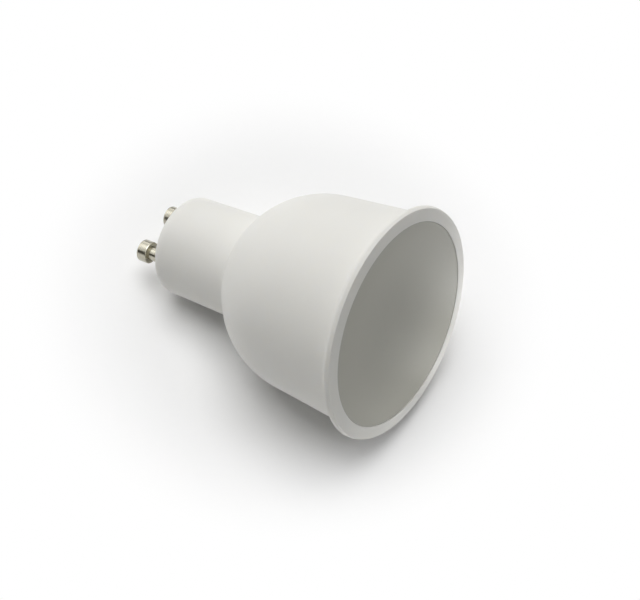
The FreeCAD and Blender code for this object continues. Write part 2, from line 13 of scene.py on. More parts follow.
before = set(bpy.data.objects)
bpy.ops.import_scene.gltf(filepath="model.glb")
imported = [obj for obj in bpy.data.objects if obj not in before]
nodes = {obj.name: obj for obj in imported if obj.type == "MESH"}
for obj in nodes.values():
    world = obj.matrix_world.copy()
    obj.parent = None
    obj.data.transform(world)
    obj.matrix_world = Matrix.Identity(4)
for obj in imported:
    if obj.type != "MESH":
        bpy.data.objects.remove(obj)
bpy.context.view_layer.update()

MM = 0.001

# %% [markdown]
# The camera stands where the photographer stood: half a metre off, looking steeply
# down on the bulb from the side of its lip. The lip's ellipse gives the direction, and
# the lens follows from how far apart the pins appear, which are 10 mm from each other. A
# camera could be aimed with a constraint, but a direction, a distance and a roll are
# plain numbers that can be read.

# %% Camera
IMAGE_WIDE = 640
SENSOR_WIDE = 36.0
AIM = Vector((-0.84, -36.50, -0.50)) * MM
DISTANCE = 509.2 * MM
AZIMUTH, ELEVATION, ROLL = -42.28, 48.91, -18.89
FOCAL_PIXELS = 2487.0
CLIP_START = 10 * MM


def direction(azimuth, elevation):
    """Unit vector towards a viewer: azimuth 0 is -Y, elevation is above the XY plane."""
    turn, rise = math.radians(azimuth), math.radians(elevation)
    flat = math.cos(rise)
    return Vector((math.sin(turn) * flat, -math.cos(turn) * flat, math.sin(rise)))


to_camera = direction(AZIMUTH, ELEVATION)
camera_data = bpy.data.cameras.new("photo_camera")
camera_data.sensor_width = SENSOR_WIDE
camera_data.lens = FOCAL_PIXELS / IMAGE_WIDE * SENSOR_WIDE
camera_data.clip_start = CLIP_START
camera = bpy.data.objects.new("photo_camera", camera_data)
upright = to_camera.to_track_quat("Z", "Y").to_matrix()
rolled = upright @ Matrix.Rotation(math.radians(ROLL), 3, "Z")
camera.matrix_world = Matrix.LocRotScale(AIM + to_camera * DISTANCE, rolled, None)
bpy.context.scene.collection.objects.link(camera)
bpy.context.scene.camera = camera
print("lens", round(camera_data.lens, 1), "mm")

# %% [markdown]
# The bulb lies tilted: the bell is wider than the base, so the axis rises towards the
# light by about eighteen degrees, and the lip hangs a few millimetres above the table.
# It has also rolled a little, so its pins are not quite level. The table is therefore a
# plane that touches the bell and the base from below. The bulb could be turned instead,
# but the part keeps its own frame, so the table is tilted and rolled.

# %% Table
TABLE_TILT, TABLE_ROLL = 18.5, 2.5
TABLE_BELOW = 9.32 * MM
TABLE_SIZE = 4000 * MM

tilt, roll = math.radians(TABLE_TILT), math.radians(TABLE_ROLL)
table_up = Vector((math.sin(roll) * math.cos(tilt),
                   -math.sin(tilt),
                   math.cos(roll) * math.cos(tilt)))
half = TABLE_SIZE / 2
corners = [(-half, -half, 0), (half, -half, 0), (half, half, 0), (-half, half, 0)]
table_mesh = bpy.data.meshes.new("table")
table_mesh.from_pydata(corners, [], [(0, 1, 2, 3)])
table = bpy.data.objects.new("table", table_mesh)
table.matrix_world = Matrix.LocRotScale(
    -table_up * TABLE_BELOW, table_up.to_track_quat("Z", "Y"), None)
bpy.context.scene.collection.objects.link(table)
print("table tilted by", TABLE_TILT, "and rolled by", TABLE_ROLL, "degrees")

# %% [markdown]
# Three small helpers serve every finish. Colours are written as the hex values that a
# painting program shows, and shaders want linear light, so the first one converts them.
# The second adds a node with its settings and its links, and the third starts an empty
# material. A finish could be wired by hand in the shader editor as well, but as a row of
# calls it can be read like a recipe.

# %% Helpers for colours and nodes
# The Mix node has sockets for every kind of value, and these are the ones for colours.
MIX_A, MIX_B, MIX_OUT = 6, 7, 2


def linear(hex_colour):
    """Turn an sRGB hex colour into the linear RGBA that a shader works with."""
    channels = [int(hex_colour[k:k + 2], 16) / 255 for k in (1, 3, 5)]
    curve = [c / 12.92 if c <= 0.04045 else ((c + 0.055) / 1.055) ** 2.4 for c in channels]
    return (*curve, 1.0)


def add(tree, kind, settings=(), links=()):
    """Add a node. Settings name its properties or sockets, links feed its sockets."""
    node = tree.nodes.new(kind)
    for name, value in dict(settings).items():
        if isinstance(name, str) and hasattr(node, name):
            setattr(node, name, value)
        else:
            node.inputs[name].default_value = value
    for name, source in dict(links).items():
        tree.links.new(source, node.inputs[name])
    return node


def new_finish(name):
    """An empty material, with its node tree and the place on the object as a socket."""
    material = bpy.data.materials.new(name)
    material.use_nodes = True
    tree = material.node_tree
    tree.nodes.clear()
    return material, tree, add(tree, "ShaderNodeTexCoord").outputs["Object"]


print("the grey #808080 is", round(linear("#808080")[0], 3), "in linear light")

# %% [markdown]
# The table is matt white paper. Round the bulb it shows the soft shadow, and further out
# it fades into plain white, as a lit paper sweep does. More lamps could burn the paper
# out, but they would burn out the bulb too. So the fade only counts for rays that look
# straight at the paper, from the camera, a mirror or a pane, and it throws no light on
# the bulb.

# %% White paper
FADE_CENTRE = Vector((3.0, -25.5, 0.0)) * MM
FADE_START, FADE_END = 29.5 * MM, 57.0 * MM
# Sizes of patterns are in millimetres, here and in every finish below.
PAPER_FIBRE = 1.5


def per_metre(size_mm):
    """Noise scale at which one patch has this size on the object."""
    return 1 / (size_mm * MM)


def seen_directly(tree):
    """One for rays from the camera, a mirror or a pane, zero for scattered light."""
    ray = add(tree, "ShaderNodeLightPath")
    sharp = add(tree, "ShaderNodeMath", {"operation": "MAXIMUM"},
                {0: ray.outputs["Is Glossy Ray"], 1: ray.outputs["Is Transmission Ray"]})
    return add(tree, "ShaderNodeMath", {"operation": "MAXIMUM"},
               {0: ray.outputs["Is Camera Ray"], 1: sharp.outputs["Value"]}).outputs["Value"]


paper, tree, place = new_finish("paper_matt_white")
fibre = add(tree, "ShaderNodeTexNoise", {"Scale": per_metre(PAPER_FIBRE), "Detail": 3.0},
            {"Vector": place})
tone = add(tree, "ShaderNodeMix",
           {"data_type": "RGBA", MIX_A: linear("#FBFBFB"), MIX_B: linear("#FDFDFD")},
           {"Factor": fibre.outputs["Fac"]})
matt = add(tree, "ShaderNodeBsdfPrincipled", {"Roughness": 0.9, "Specular IOR Level": 0.2},
           {"Base Color": tone.outputs[MIX_OUT]})
reach = add(tree, "ShaderNodeVectorMath", {"operation": "DISTANCE", 1: FADE_CENTRE}, {0: place})
fade = add(tree, "ShaderNodeMapRange",
           {"interpolation_type": "SMOOTHSTEP", "From Min": FADE_START, "From Max": FADE_END},
           {"Value": reach.outputs["Value"]})
share = add(tree, "ShaderNodeMath", {"operation": "MULTIPLY"},
            {0: fade.outputs["Result"], 1: seen_directly(tree)})
sweep = add(tree, "ShaderNodeEmission", {"Color": linear("#FFFFFF"), "Strength": 1.0})
mixed = add(tree, "ShaderNodeMixShader", (),
            {"Fac": share.outputs["Value"], 1: matt.outputs["BSDF"],
             2: sweep.outputs["Emission"]})
add(tree, "ShaderNodeOutputMaterial", (), {"Surface": mixed.outputs["Shader"]})
table_mesh.materials.append(paper)
print(paper.name, "fades to white over", round((FADE_END - FADE_START) / MM, 1), "mm")

# %% [markdown]
# The light is one large soft tent overhead, brighter behind the bulb and to the left.
# Lamps at a finite distance would fade across the table, so the tent is made of suns with
# very wide discs: they light the table evenly and still throw soft shadows. Each sun is
# placed by its lean from straight overhead and its turn, which is 0 behind the bulb as
# the camera sees it and 90 on the right.

# %% Light tent
SUNS = (
    # name, lean, turn, strength, width of its disc in degrees
    ("overhead_light", 14.0, 310.0, 2.0, 50.0),
    ("back_light", 30.0, 17.0, 0.4, 45.0),
    ("low_back_light", 72.0, 0.0, 0.35, 45.0),
    ("low_left_light", 72.0, 300.0, 0.6, 45.0),
)

away = (-to_camera - table_up * (-to_camera).dot(table_up)).normalized()
aside = away.cross(table_up)
for name, lean, turn, strength, width in SUNS:
    lean, turn = math.radians(lean), math.radians(turn)
    level = away * math.cos(turn) + aside * math.sin(turn)
    towards = table_up * math.cos(lean) + level * math.sin(lean)
    sun_data = bpy.data.lights.new(name, "SUN")
    sun_data.energy = strength
    sun_data.angle = math.radians(width)
    sun = bpy.data.objects.new(name, sun_data)
    sun.matrix_world = towards.to_track_quat("Z", "Y").to_matrix().to_4x4()
    bpy.context.scene.collection.objects.link(sun)
print(len(SUNS), "suns")

# %% [markdown]
# The tent stands behind the front, so the front is lit from below, by the bright table.
# Small white cards that stand low in front of the lip give that light. They are stronger
# on the right, and so near that the front changes slowly from dark to pale across its
# width. They could be glowing planes, but area lights give less noise and the camera does
# not see them. They light the bulb alone, or they would leave bright patches on the table.

# %% White cards
CARDS = (
    # name, steps from the lip's foot across, forward and up in mm, side in mm, brightness
    ("left_card", (-26.0, 20.0, 2.0), 14.0, 1.6),
    ("near_left_card", (-8.0, 12.0, 2.0), 12.0, 0.5),
    ("middle_card", (11.0, 10.0, 2.0), 12.0, 1.0),
    ("right_card", (30.0, 10.0, 2.0), 12.0, 2.7),
    ("outer_card", (45.0, 10.0, 4.0), 16.0, 2.6),
)
LIP_FOOT = Vector((0.0, -54.2, -24.7)) * MM
FRONT_MIDDLE = Vector((0.0, -55.4, 0.0)) * MM
LIGHT_WAY = Vector((0.0, -1.0, 0.0))

bulb = bpy.data.collections.new("bulb_alone")
for piece in nodes.values():
    bulb.objects.link(piece)
ahead = (LIGHT_WAY - table_up * LIGHT_WAY.dot(table_up)).normalized()
across = table_up.cross(ahead)
for name, (sideways, forward, rise), side, brightness in CARDS:
    spot = LIP_FOOT + (across * sideways + ahead * forward + table_up * rise) * MM
    card_data = bpy.data.lights.new(name, "AREA")
    card_data.size = side * MM
    # An area light takes watts, which are its brightness times pi times its area.
    card_data.energy = brightness * math.pi * (side * MM) ** 2
    card = bpy.data.objects.new(name, card_data)
    card.matrix_world = Matrix.LocRotScale(
        spot, (FRONT_MIDDLE - spot).to_track_quat("-Z", "Y"), None)
    card.visible_camera = False
    card.light_linking.receiver_collection = bulb
    bpy.context.scene.collection.objects.link(card)

# %% [markdown]
# In a white tent, polished metal shows nothing but white and looks like plaster. So two
# dull boards stand outside the picture, a dark one on the left and a grey one on the
# right. The pins could be painted with dark bands, but those would not move with the
# view. Only mirror rays see the boards: they draw dark bands along the contact pins, and
# they neither block the light nor show in the picture.

# %% Dull boards
BOARDS = (
    # name, middle in mm, height and length in mm, tone
    ("dark_board", (-150.0, 95.0, 85.0), 130.0, 260.0, "#5A574C"),
    ("grey_board", (150.0, 95.0, 30.0), 60.0, 260.0, "#85848A"),
)
BOARD_FIBRE = 2.0


def surface(tree, settings, links):
    """Close a finish with one Principled shader on the material's output."""
    shader = add(tree, "ShaderNodeBsdfPrincipled", settings, links)
    add(tree, "ShaderNodeOutputMaterial", (), {"Surface": shader.outputs["BSDF"]})


for name, middle, height, length, colour in BOARDS:
    y, z = length / 2, height / 2
    outline = [Vector((0, a, b)) * MM for a, b in ((-y, -z), (y, -z), (y, z), (-y, z))]
    board_mesh = bpy.data.meshes.new(name)
    board_mesh.from_pydata(outline, [], [(0, 1, 2, 3)])
    board = bpy.data.objects.new(name, board_mesh)
    board.location = Vector(middle) * MM
    board.visible_camera = board.visible_diffuse = board.visible_shadow = False
    bpy.context.scene.collection.objects.link(board)
    card_stock, tree, place = new_finish("card_matt_" + name)
    fibre = add(tree, "ShaderNodeTexNoise", {"Scale": per_metre(BOARD_FIBRE), "Detail": 2.0},
                {"Vector": place})
    tone = add(tree, "ShaderNodeMix",
               {"data_type": "RGBA", MIX_A: linear(colour), MIX_B: linear("#2B2A26")},
               {"Factor": fibre.outputs["Fac"]})
    surface(tree, {"Roughness": 0.9, "Specular IOR Level": 0.1},
            {"Base Color": tone.outputs[MIX_OUT]})
    board_mesh.materials.append(card_stock)
print(len(BOARDS), "boards")

# %% [markdown]
# The room round the table is white too, but it gives almost no light: the suns and the
# cards give nearly all of it. A bright room would be simpler, but it would lift every
# shadow. Where the camera, a mirror or a pane looks straight into the room, it is plain
# white.

# %% White room
ROOM_LIGHT = 0.02

world = bpy.data.worlds.new("white_room")
bpy.context.scene.world = world
world.use_nodes = True
tree = world.node_tree
tree.nodes.clear()
room = add(tree, "ShaderNodeBackground", {"Color": linear("#FFFFFF"), "Strength": ROOM_LIGHT})
white = add(tree, "ShaderNodeBackground", {"Color": linear("#FFFFFF"), "Strength": 1.0})
mixed = add(tree, "ShaderNodeMixShader", (),
            {"Fac": seen_directly(tree), 1: room.outputs["Background"],
             2: white.outputs["Background"]})
add(tree, "ShaderNodeOutputWorld", (), {"Surface": mixed.outputs["Shader"]})
bpy.context.scene.view_settings.view_transform = "Standard"
print("room light", ROOM_LIGHT)

# %% [markdown]
# The body is one injection moulding in white PBT, a plastic that stands the heat near
# the base. Its mould is spark-eroded, so the skin is matt, with a grain far finer than a
# tenth of a millimetre. That grain is drawn coarser here, or it would not show at all.
# Light goes about a millimetre into the plastic, which softens its edges and grooves. A
# single white would look like paint, so a slow cloud shifts the tone by a hair.

# %% White moulding
GRAIN, CLOUD = 0.3, 12.0


def dress(material, *names):
    """Give CAD pieces a finish in place of their plain one."""
    for name in names:
        mesh = nodes[name].data
        mesh.materials.clear()
        mesh.materials.append(material)
    print(material.name, "on", ", ".join(names))


moulding, tree, place = new_finish("pbt_moulded_matt")
grain = add(tree, "ShaderNodeTexNoise", {"Scale": per_metre(GRAIN), "Detail": 4.0},
            {"Vector": place})
cloud = add(tree, "ShaderNodeTexNoise", {"Scale": per_metre(CLOUD), "Detail": 2.0},
            {"Vector": place})
tone = add(tree, "ShaderNodeMix",
           {"data_type": "RGBA", MIX_A: linear("#E3E2DD"), MIX_B: linear("#E7E6E1")},
           {"Factor": cloud.outputs["Fac"]})
rough = add(tree, "ShaderNodeMapRange", {"To Min": 0.46, "To Max": 0.6},
            {"Value": grain.outputs["Fac"]})
bump = add(tree, "ShaderNodeBump", {"Strength": 0.12, "Distance": 0.02 * MM},
           {"Height": grain.outputs["Fac"]})
surface(tree,
        {"Specular IOR Level": 0.35, "Subsurface Weight": 0.5,
         "Subsurface Radius": (1.0, 0.95, 0.85), "Subsurface Scale": 0.8 * MM},
        {"Base Color": tone.outputs[MIX_OUT], "Roughness": rough.outputs["Result"],
         "Normal": bump.outputs["Normal"]})
dress(moulding, "housing")

# %% [markdown]
# The front is a disc of opal polycarbonate. Unlit, it looks greyer than the moulding
# round it, because part of the light goes in and is lost behind it. Towards its rim its
# colour is painted paler: a painted glow for the light that the white ledge carrying it
# throws back. Its face comes from a sand-blasted mould, which gives it a satin look with
# a very fine frost, drawn coarser here so that it shows. A see-through shader would show
# the pieces behind the disc, which real opal hides, so light that scatters inside gives
# the milky depth.

# %% Opal front
DISC_RADIUS = 21.75 * MM
HAZE, FROST = 8.0, 0.35

opal, tree, place = new_finish("polycarbonate_opal")
level = add(tree, "ShaderNodeVectorMath", {"operation": "MULTIPLY", 1: (1.0, 0.0, 1.0)},
            {0: place})
radius = add(tree, "ShaderNodeVectorMath", {"operation": "LENGTH"},
             {0: level.outputs["Vector"]})
# Painted light: the disc's colour grows paler from its middle out to its rim.
painted_rim_light = add(tree, "ShaderNodeMapRange",
          {"interpolation_type": "SMOOTHERSTEP", "From Min": 0.0, "From Max": DISC_RADIUS},
          {"Value": radius.outputs["Value"]})
haze = add(tree, "ShaderNodeTexNoise", {"Scale": per_metre(HAZE), "Detail": 3.0},
           {"Vector": place})
frost = add(tree, "ShaderNodeTexNoise", {"Scale": per_metre(FROST), "Detail": 3.0},
            {"Vector": place})
milk = add(tree, "ShaderNodeMix",
           {"data_type": "RGBA", MIX_A: linear("#9A998E"), MIX_B: linear("#A09F94")},
           {"Factor": haze.outputs["Fac"]})
tone = add(tree, "ShaderNodeMix", {"data_type": "RGBA", MIX_B: linear("#ADACA1")},
           {"Factor": painted_rim_light.outputs["Result"], MIX_A: milk.outputs[MIX_OUT]})
rough = add(tree, "ShaderNodeMapRange", {"To Min": 0.4, "To Max": 0.55},
            {"Value": frost.outputs["Fac"]})
bump = add(tree, "ShaderNodeBump", {"Strength": 0.08, "Distance": 0.02 * MM},
           {"Height": frost.outputs["Fac"]})
surface(tree,
        {"IOR": 1.58, "Specular IOR Level": 0.35, "Subsurface Weight": 0.7,
         "Subsurface Radius": (1.0, 1.0, 0.95), "Subsurface Scale": 1.5 * MM},
        {"Base Color": tone.outputs[MIX_OUT], "Roughness": rough.outputs["Result"],
         "Normal": bump.outputs["Normal"]})
dress(opal, "diffuser")

# %% [markdown]
# The contact pins are turned from brass and nickel-plated. A turned part keeps fine
# rings from the tool, which draw a highlight out along the pin, and the plating is a
# yellowish grey. In patches along the tool's rings the colour is painted darker and
# browner, as painted dark reflections of a dim room. The rings are too shallow to be
# worth cutting into the shape, so a wave along the pin gives them as a bump. They are
# drawn coarser than the tool leaves them, or they would not show.

# %% Plated pins
TOOL_RING, GLOSS_AND_REFLECTION_PATCH = 0.4, 2.5


def wave_scale(size_mm):
    """Wave scale at which one ridge and its valley have this size on the object."""
    period_at_one = math.pi / 10
    return period_at_one / (size_mm * MM)


nickel, tree, place = new_finish("brass_turned_nickel_plated")
rings = add(tree, "ShaderNodeTexWave",
            {"bands_direction": "Y", "Scale": wave_scale(TOOL_RING), "Distortion": 0.5},
            {"Vector": place})
patchy_gloss_and_reflection = add(tree, "ShaderNodeTexNoise", {"Scale": per_metre(GLOSS_AND_REFLECTION_PATCH), "Detail": 3.0},
           {"Vector": place})
# Painted dark reflection: darker, browner patches along the tool's rings.
painted_dark_reflection = add(tree, "ShaderNodeMath", {"operation": "MULTIPLY"},
           {0: patchy_gloss_and_reflection.outputs["Fac"], 1: rings.outputs["Fac"]})
tone = add(tree, "ShaderNodeMix",
           {"data_type": "RGBA", MIX_A: linear("#BFBCAE"), MIX_B: linear("#928C79")},
           {"Factor": painted_dark_reflection.outputs["Value"]})
rough = add(tree, "ShaderNodeMapRange", {"To Min": 0.15, "To Max": 0.32},
            {"Value": patchy_gloss_and_reflection.outputs["Fac"]})
bump = add(tree, "ShaderNodeBump", {"Strength": 0.1, "Distance": 0.02 * MM},
           {"Height": rings.outputs["Fac"]})
surface(tree, {"Metallic": 1.0},
        {"Base Color": tone.outputs[MIX_OUT], "Roughness": rough.outputs["Result"],
         "Normal": bump.outputs["Normal"]})
dress(nickel, "contact_pin_left", "contact_pin_right")

# %% [markdown]
# Everything else sits behind the front, and shows once the front is taken off. The heat
# sink is a pan pressed from aluminium sheet. Drawing the sheet into its shape pulls fine
# streaks along its wall, so the noise is stretched along the lamp's axis. Anisotropy
# would only smear the highlight, and the streaks also shift the tone.

# %% Pressed aluminium
STREAK_LONG, STREAK_FINE = 12.0, 0.4

pressed, tree, place = new_finish("aluminium_pressed")
drawn = add(tree, "ShaderNodeMapping", {"Scale": (1.0, STREAK_FINE / STREAK_LONG, 1.0)},
            {"Vector": place})
streak = add(tree, "ShaderNodeTexNoise", {"Scale": per_metre(STREAK_FINE), "Detail": 3.0},
             {"Vector": drawn.outputs["Vector"]})
tone = add(tree, "ShaderNodeMix",
           {"data_type": "RGBA", MIX_A: linear("#C6C8CA"), MIX_B: linear("#DADBDC")},
           {"Factor": streak.outputs["Fac"]})
rough = add(tree, "ShaderNodeMapRange", {"To Min": 0.28, "To Max": 0.5},
            {"Value": streak.outputs["Fac"]})
surface(tree, {"Metallic": 1.0},
        {"Base Color": tone.outputs[MIX_OUT], "Roughness": rough.outputs["Result"]})
dress(pressed, "heat_sink")

# %% [markdown]
# The board of the light sources is aluminium under white solder mask, a printed lacquer.
# Copper tracks below the lacquer raise it in rings round the middle, by a few hundredths
# of a millimetre, which is drawn higher here so that it catches the light. The tracks
# could be modelled, but under the lacquer they have no sharp edges, so waves do as well.

# %% White solder mask
SPECK, TRACK = 0.6, 4.5

lacquer, tree, place = new_finish("solder_mask_white")
speck = add(tree, "ShaderNodeTexNoise", {"Scale": per_metre(SPECK), "Detail": 3.0},
            {"Vector": place})
track = add(tree, "ShaderNodeTexWave",
            {"wave_type": "RINGS", "rings_direction": "Y", "Scale": wave_scale(TRACK)},
            {"Vector": place})
tone = add(tree, "ShaderNodeMix",
           {"data_type": "RGBA", MIX_A: linear("#E6E7E2"), MIX_B: linear("#F0F0EC")},
           {"Factor": speck.outputs["Fac"]})
bump = add(tree, "ShaderNodeBump", {"Strength": 0.3, "Distance": 0.08 * MM},
           {"Height": track.outputs["Fac"]})
surface(tree, {"Roughness": 0.35},
        {"Base Color": tone.outputs[MIX_OUT], "Normal": bump.outputs["Normal"]})
dress(lacquer, "led_board")

# %% [markdown]
# Each light source is a white moulded cup filled with silicone, and the silicone is full
# of yellow phosphor powder. The front of the cup is yellow and its sides are white. Two
# materials would need the faces sorted by hand, so the direction in which the surface
# faces picks the colour. The powder is drawn coarser than it is, or it would not show.

# %% Phosphor in white cups
POWDER = 0.2
SIDE_FACING, FRONT_FACING = -0.5, -0.9

phosphor, tree, place = new_finish("silicone_phosphor_filled")
powder = add(tree, "ShaderNodeTexNoise", {"Scale": per_metre(POWDER), "Detail": 4.0},
             {"Vector": place})
yellow = add(tree, "ShaderNodeMix",
             {"data_type": "RGBA", MIX_A: linear("#E0B53A"), MIX_B: linear("#F0CF5E")},
             {"Factor": powder.outputs["Fac"]})
normal = add(tree, "ShaderNodeNewGeometry").outputs["Normal"]
facing = add(tree, "ShaderNodeSeparateXYZ", (), {"Vector": normal})
front = add(tree, "ShaderNodeMapRange", {"From Min": SIDE_FACING, "From Max": FRONT_FACING},
            {"Value": facing.outputs["Y"]})
tone = add(tree, "ShaderNodeMix", {"data_type": "RGBA", MIX_A: linear("#EFEFEA")},
           {"Factor": front.outputs["Result"], MIX_B: yellow.outputs[MIX_OUT]})
surface(tree, {"Roughness": 0.3}, {"Base Color": tone.outputs[MIX_OUT]})
dress(phosphor, "light_sources")

# %% [markdown]
# The two board screws are steel with a bluish zinc plating, which is bright but grows a
# cloudy bloom. Separate patterns for tone and gloss could be mixed, but one cloud drives
# both here, because the bloom is paler and duller in the same places.

# %% Zinc-plated screws
BLOOM = 0.9

zinc, tree, place = new_finish("steel_zinc_plated")
bloom = add(tree, "ShaderNodeTexNoise", {"Scale": per_metre(BLOOM), "Detail": 4.0},
            {"Vector": place})
tone = add(tree, "ShaderNodeMix",
           {"data_type": "RGBA", MIX_A: linear("#AEB4BA"), MIX_B: linear("#CDD0D2")},
           {"Factor": bloom.outputs["Fac"]})
rough = add(tree, "ShaderNodeMapRange", {"To Min": 0.22, "To Max": 0.45},
            {"Value": bloom.outputs["Fac"]})
surface(tree, {"Metallic": 1.0},
        {"Base Color": tone.outputs[MIX_OUT], "Roughness": rough.outputs["Result"]})
dress(zinc, "board_screws")

# %% [markdown]
# The four leads are copper wire, dipped in tin so that they solder well. The tin is
# silvery and thin, and copper glows through in places. A coat over copper would be the
# exact way, but tin is not clear, so a cloud with soft edges chooses between the metals.

# %% Tinned copper
THIN_PATCH = 1.0
TIN_BELOW, COPPER_ABOVE = 0.45, 0.75

tinned, tree, place = new_finish("copper_wire_tinned")
thin = add(tree, "ShaderNodeTexNoise", {"Scale": per_metre(THIN_PATCH), "Detail": 3.0},
           {"Vector": place})
bare = add(tree, "ShaderNodeMapRange", {"From Min": TIN_BELOW, "From Max": COPPER_ABOVE},
           {"Value": thin.outputs["Fac"]})
tone = add(tree, "ShaderNodeMix",
           {"data_type": "RGBA", MIX_A: linear("#CFCBC4"), MIX_B: linear("#B98350")},
           {"Factor": bare.outputs["Result"]})
surface(tree, {"Metallic": 1.0, "Roughness": 0.3}, {"Base Color": tone.outputs[MIX_OUT]})
dress(tinned, "input_lead_left", "input_lead_right", "output_lead_left", "output_lead_right")

# %% [markdown]
# The driver board is woven glass cloth soaked in epoxy, under green solder mask. The
# weave has about two threads to the millimetre and shows through as a fine net of bumps.
# Two waves at right angles, added up, give that net, and no thread has to be modelled.

# %% Glass-epoxy board
THREAD, STAIN = 0.5, 3.0

fibreglass, tree, place = new_finish("glass_epoxy_green")
warp = add(tree, "ShaderNodeTexWave",
           {"bands_direction": "X", "Scale": wave_scale(THREAD)}, {"Vector": place})
weft = add(tree, "ShaderNodeTexWave",
           {"bands_direction": "Y", "Scale": wave_scale(THREAD)}, {"Vector": place})
weave = add(tree, "ShaderNodeMath", {"operation": "ADD"},
            {0: warp.outputs["Fac"], 1: weft.outputs["Fac"]})
stain = add(tree, "ShaderNodeTexNoise", {"Scale": per_metre(STAIN), "Detail": 3.0},
            {"Vector": place})
tone = add(tree, "ShaderNodeMix",
           {"data_type": "RGBA", MIX_A: linear("#1C5A30"), MIX_B: linear("#27713D")},
           {"Factor": stain.outputs["Fac"]})
bump = add(tree, "ShaderNodeBump", {"Strength": 0.2, "Distance": 0.03 * MM},
           {"Height": weave.outputs["Value"]})
surface(tree, {"Roughness": 0.4},
        {"Base Color": tone.outputs[MIX_OUT], "Normal": bump.outputs["Normal"]})
dress(fibreglass, "driver_board")

# %% [markdown]
# The two electrolytic capacitors are aluminium cans in a black shrink sleeve, which
# leaves the can's end bare and carries one plain pale stripe along the minus side. The
# large can lies along the lamp's axis and the small one stands, so the end is found along
# Y for one and along Z for the other, and the stripe lies on the +X side of both. Their
# finishes differ in nothing else, so one loop makes both.

# %% Sleeved cans
CANS = (
    # node, axis of the can, X in mm beyond which the stripe lies
    ("input_capacitor", "Y", 3.2),
    ("output_capacitor", "Z", 1.9),
)
RIPPLE = 1.4
END_FACING = 0.9

for node, axis, stripe_from in CANS:
    sleeve, tree, place = new_finish("shrink_sleeve_on_aluminium_" + axis.lower())
    ripple = add(tree, "ShaderNodeTexNoise", {"Scale": per_metre(RIPPLE), "Detail": 2.0},
                 {"Vector": place})
    spot = add(tree, "ShaderNodeSeparateXYZ", (), {"Vector": place})
    stripe = add(tree, "ShaderNodeMath", {"operation": "GREATER_THAN", 1: stripe_from * MM},
                 {0: spot.outputs["X"]})
    dark = add(tree, "ShaderNodeMix",
               {"data_type": "RGBA", MIX_A: linear("#1D1F24"), MIX_B: linear("#25272D")},
               {"Factor": ripple.outputs["Fac"]})
    wrap = add(tree, "ShaderNodeMix", {"data_type": "RGBA", MIX_B: linear("#B9BCC0")},
               {"Factor": stripe.outputs["Value"], MIX_A: dark.outputs[MIX_OUT]})
    normal = add(tree, "ShaderNodeNewGeometry").outputs["Normal"]
    facing = add(tree, "ShaderNodeSeparateXYZ", (), {"Vector": normal})
    along = add(tree, "ShaderNodeMath", {"operation": "ABSOLUTE"}, {0: facing.outputs[axis]})
    end = add(tree, "ShaderNodeMath", {"operation": "GREATER_THAN", 1: END_FACING},
              {0: along.outputs["Value"]})
    tone = add(tree, "ShaderNodeMix", {"data_type": "RGBA", MIX_B: linear("#CFD1D3")},
               {"Factor": end.outputs["Value"], MIX_A: wrap.outputs[MIX_OUT]})
    rough = add(tree, "ShaderNodeMapRange", {"To Min": 0.25, "To Max": 0.4},
                {"Value": ripple.outputs["Fac"]})
    surface(tree, {},
            {"Base Color": tone.outputs[MIX_OUT], "Metallic": end.outputs["Value"],
             "Roughness": rough.outputs["Result"]})
    dress(sleeve, node)

# %% [markdown]
# The film capacitor is dipped in brown epoxy, which runs a little before it sets. That
# leaves a glossy skin with slow waves. The runs could be sculpted, but they are far
# shallower than they are wide, so a bump from a soft noise is enough.

# %% Dipped epoxy
RUN = 1.8

dipped, tree, place = new_finish("epoxy_dipped_brown")
run = add(tree, "ShaderNodeTexNoise", {"Scale": per_metre(RUN), "Detail": 1.0},
          {"Vector": place})
tone = add(tree, "ShaderNodeMix",
           {"data_type": "RGBA", MIX_A: linear("#71281A"), MIX_B: linear("#8C3826")},
           {"Factor": run.outputs["Fac"]})
bump = add(tree, "ShaderNodeBump", {"Strength": 0.4, "Distance": 0.15 * MM},
           {"Height": run.outputs["Fac"]})
surface(tree, {"Roughness": 0.22},
        {"Base Color": tone.outputs[MIX_OUT], "Normal": bump.outputs["Normal"]})
dress(dipped, "film_capacitor")

# %% [markdown]
# The choke is wound on a bobbin of ferrite, a black ceramic that is pressed from powder
# and sintered, so its skin is dry and grainy. The grains are drawn coarser than they are,
# or they would not show. Grey specks in the tone go with the bumps, as the faces of real
# grains do.

# %% Ferrite
GRIT = 0.25

ferrite, tree, place = new_finish("ferrite_sintered")
grit = add(tree, "ShaderNodeTexNoise", {"Scale": per_metre(GRIT), "Detail": 5.0},
           {"Vector": place})
tone = add(tree, "ShaderNodeMix",
           {"data_type": "RGBA", MIX_A: linear("#242427"), MIX_B: linear("#3A3A3E")},
           {"Factor": grit.outputs["Fac"]})
bump = add(tree, "ShaderNodeBump", {"Strength": 0.3, "Distance": 0.04 * MM},
           {"Height": grit.outputs["Fac"]})
surface(tree, {"Roughness": 0.7},
        {"Base Color": tone.outputs[MIX_OUT], "Normal": bump.outputs["Normal"]})
dress(ferrite, "choke_core")

# %% [markdown]
# The winding is copper wire in a clear brown enamel, so the metal shines through warm and
# a little dulled. The turns could be swept along a helix, but the winding is one solid
# here, so a wave along the bobbin's axis draws ridges as wide as the wire. The same wave
# paints the grooves between the turns dark and the crowns bright: painted shade and a
# painted highlight.

# %% Enamelled wire
WIRE = 0.35

enamelled, tree, place = new_finish("copper_wire_enamelled")
wire_ridges_and_painted_shade = add(tree, "ShaderNodeTexWave",
            {"bands_direction": "Z", "Scale": wave_scale(WIRE), "Distortion": 0.6},
            {"Vector": place})
